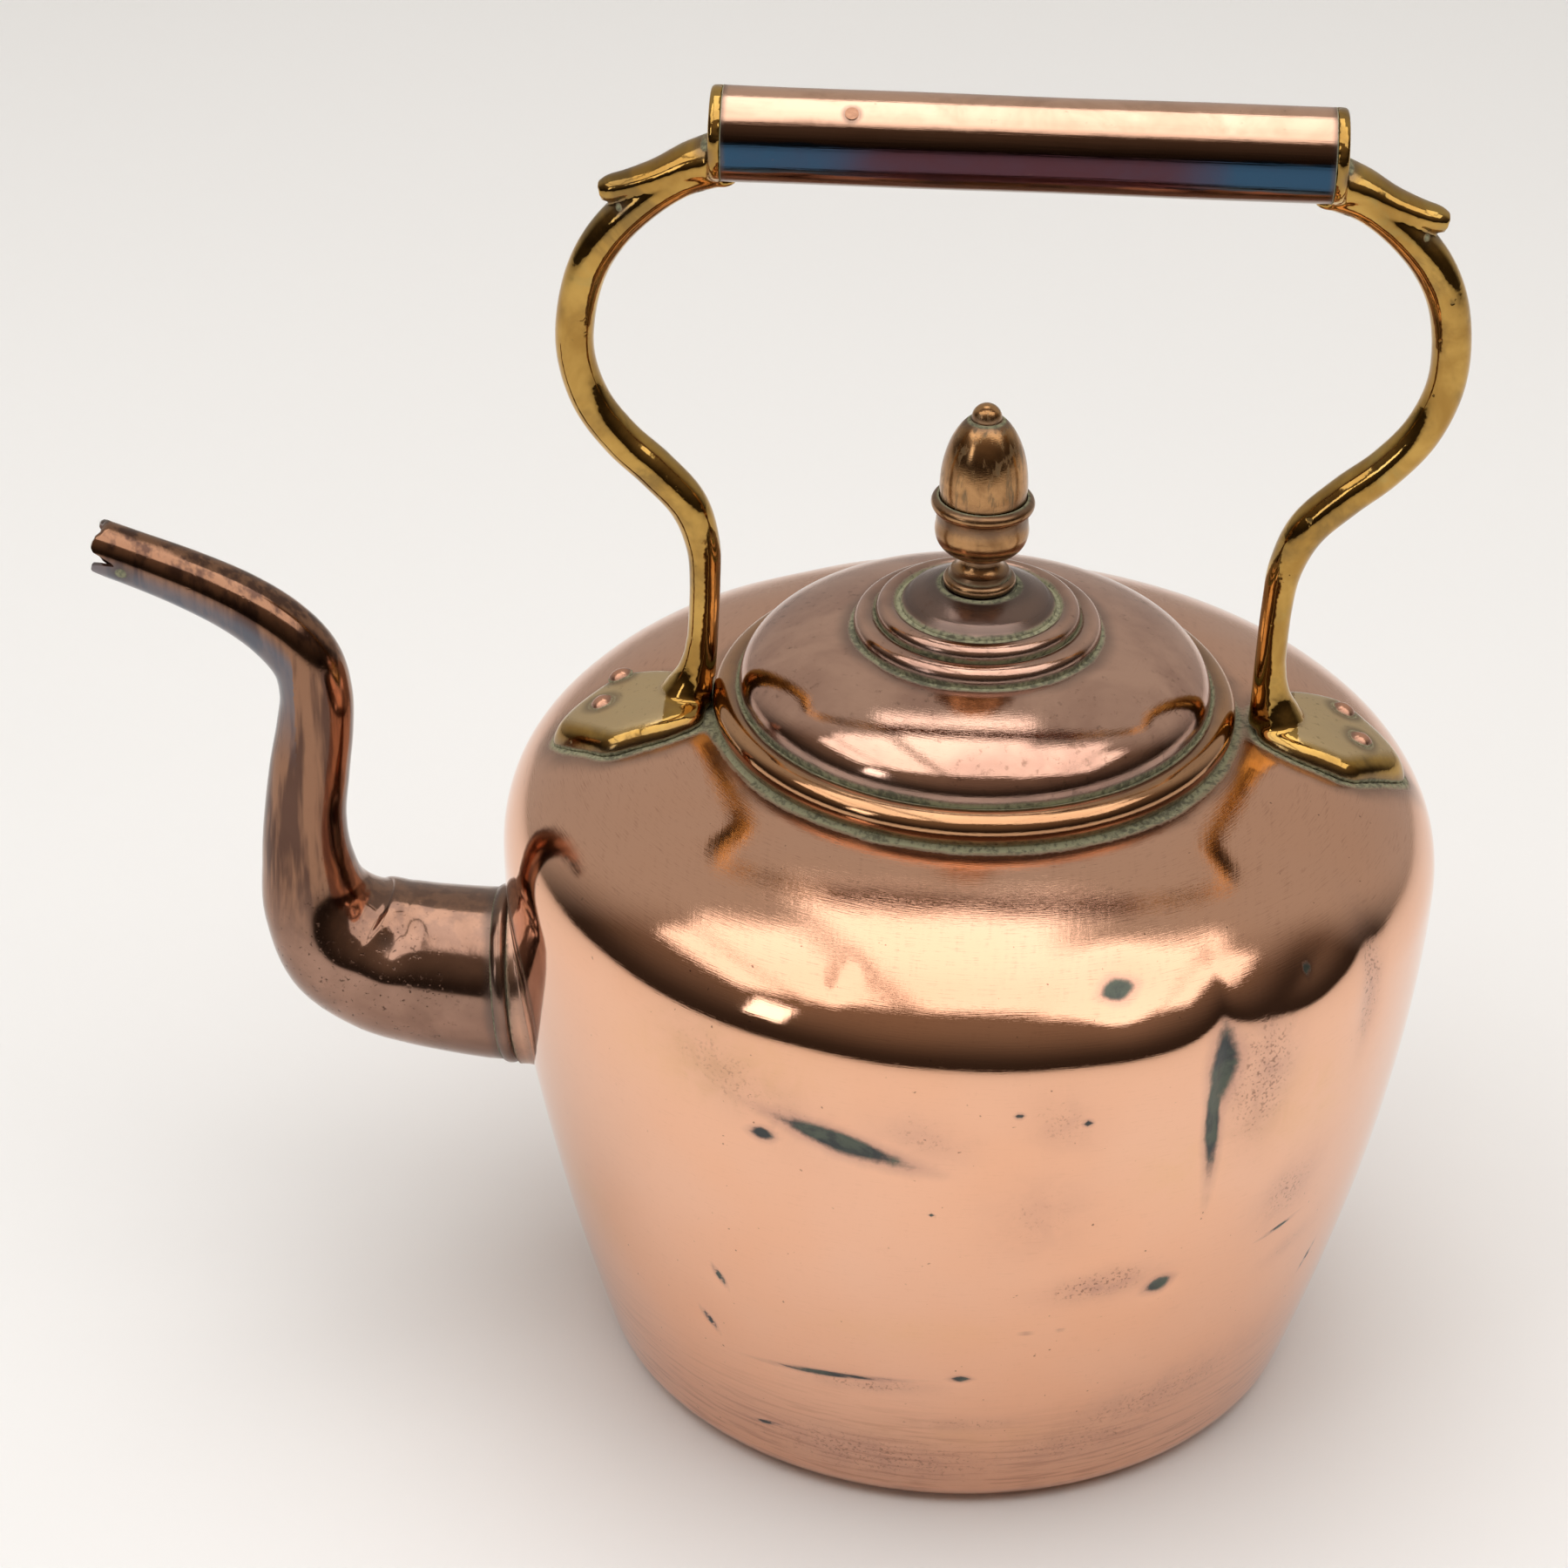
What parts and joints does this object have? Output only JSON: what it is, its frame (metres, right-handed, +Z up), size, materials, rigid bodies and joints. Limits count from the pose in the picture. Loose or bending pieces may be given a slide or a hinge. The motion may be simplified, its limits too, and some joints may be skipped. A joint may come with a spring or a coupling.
{
  "type": "copper kettle",
  "caption": "Round-shouldered copper kettle with a gooseneck spout, lift-off domed lid with an acorn knob, and a tube grip on cast brass brackets.",
  "frame": {"origin": "centre of the flat underside of the base, on the body's axis", "axes": "+Z up along the body's axis; -X towards the spout; +X towards the back, so the whole length lies along X"},
  "size_m": [0.3009, 0.21, 0.306],
  "materials": {
    "polished_copper": "polished copper, worn and dented, with tarnish in the dents",
    "dark_copper": "copper darkened by handling and heat",
    "cast_brass": "cast brass, polished over casting pits",
    "rivet_copper": "hammered copper rivets",
    "tinned_copper": "dull tin wash over copper",
    "turned_bronze": "turned brass browned by age"
  },
  "bodies": {
    "kettle": {"body_shell": "polished_copper", "base_pan": "polished_copper", "mouth_ring": "polished_copper", "spout_flange": "polished_copper", "spout_collar": "polished_copper", "spout_tube": "dark_copper", "front_bracket": "cast_brass", "rear_bracket": "cast_brass", "grip_tube": "dark_copper", "grip_pin": "dark_copper", "front_foot_rivets": "rivet_copper", "rear_foot_rivets": "rivet_copper", "front_rivet_burrs": "tinned_copper", "rear_rivet_burrs": "tinned_copper"},
    "lid": {"lid_dome": "dark_copper", "lid_flange": "tinned_copper", "finial_pedestal": "turned_bronze", "acorn_cup": "turned_bronze", "acorn_nut": "turned_bronze", "finial_spindle": "turned_bronze", "spindle_burr": "tinned_copper"}
  },
  "joints": [
    {"name": "lid_lift", "type": "slide", "parent": "kettle", "child": "lid", "axis": [0, 0, 1], "range_m": [0, 0.026]}
  ]
}
